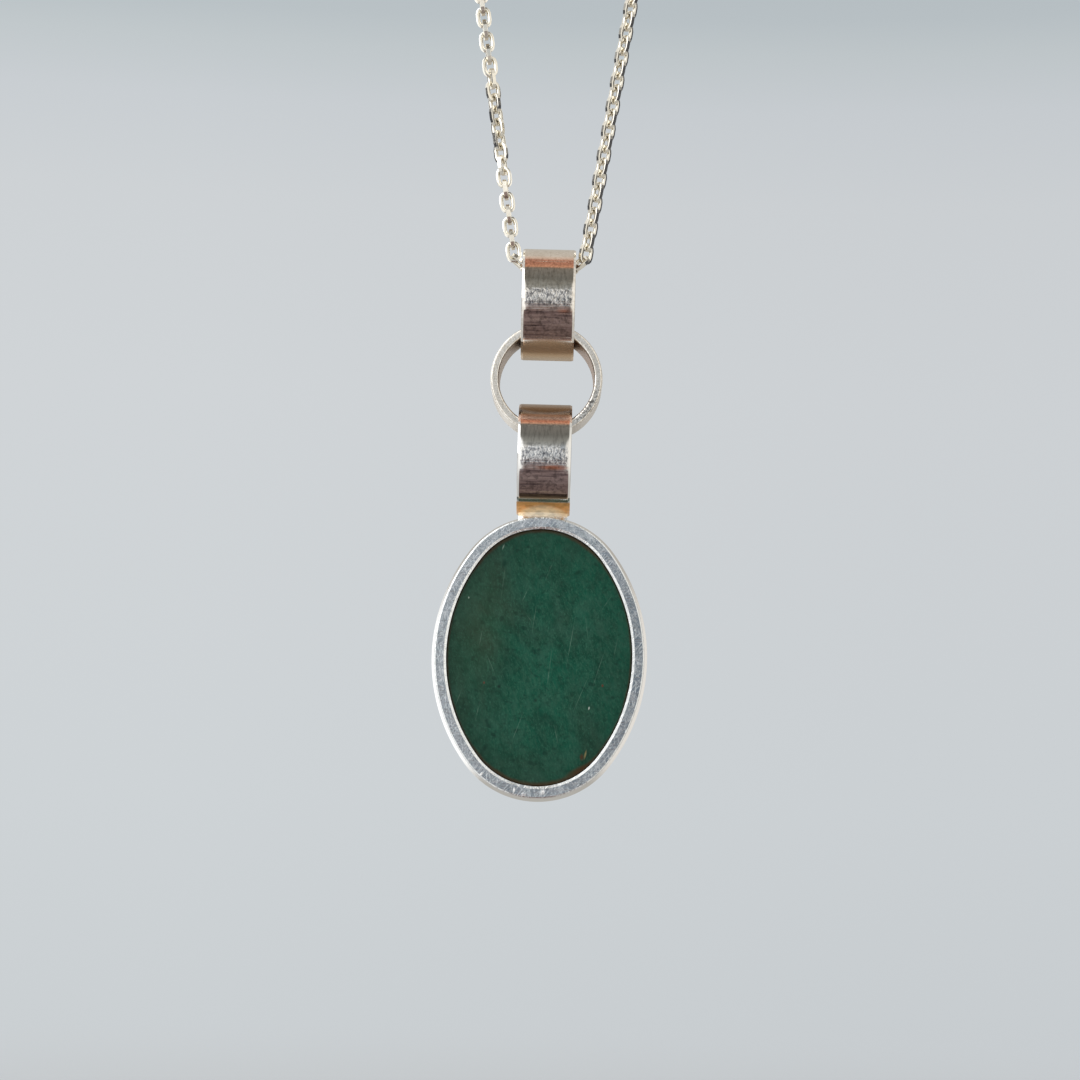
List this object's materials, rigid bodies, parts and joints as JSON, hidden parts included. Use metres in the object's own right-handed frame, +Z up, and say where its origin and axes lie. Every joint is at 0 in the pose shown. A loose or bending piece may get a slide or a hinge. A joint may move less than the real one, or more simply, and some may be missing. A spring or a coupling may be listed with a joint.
{
  "type": "chalcedony pendant",
  "caption": "Silver pendant with a flat oval green stone in a plain frame, hung by linked band rings on a whole loop of fine anchor chain.",
  "frame": {"origin": "the point under the top of the chain loop, at the clasp, where the necklace hangs on a neck or a peg", "axes": "+Z up, -Y the way the stone faces, +X to the right of someone who looks at the stone"},
  "size_m": [0.0618, 0.013, 0.2657],
  "materials": {
    "chain_silver": "bright polished silver, facets cut flat on every link",
    "ring_silver": "worn polished silver, fine scratches along the band, brown tarnish inside",
    "setting_silver": "silver rubbed flat on the front, fine scratches in all directions, bright edges",
    "green_stone": "dark green chalcedony, polished flat, with fibrous streaks and small brown and white inclusions"
  },
  "bodies": {
    "necklace": {"chain": "chain_silver", "clasp": "chain_silver"},
    "bail": {"bail_ring": "ring_silver"},
    "link": {"link_ring": "ring_silver"},
    "drop": {"setting": "setting_silver", "stone": "green_stone"}
  },
  "joints": [
    {"name": "bail_swing", "type": "hinge", "parent": "necklace", "child": "bail", "pos_m": [0, 0, -0.20125], "axis": [1, 0, 0], "range_deg": [-75, 75]},
    {"name": "link_swing", "type": "hinge", "parent": "bail", "child": "link", "pos_m": [0, 0, -0.20582], "axis": [1, 0, 0], "range_deg": [-75, 75]},
    {"name": "drop_swing", "type": "hinge", "parent": "link", "child": "drop", "pos_m": [0, 0, -0.21505], "axis": [0, 1, 0], "range_deg": [-70, 70]}
  ]
}
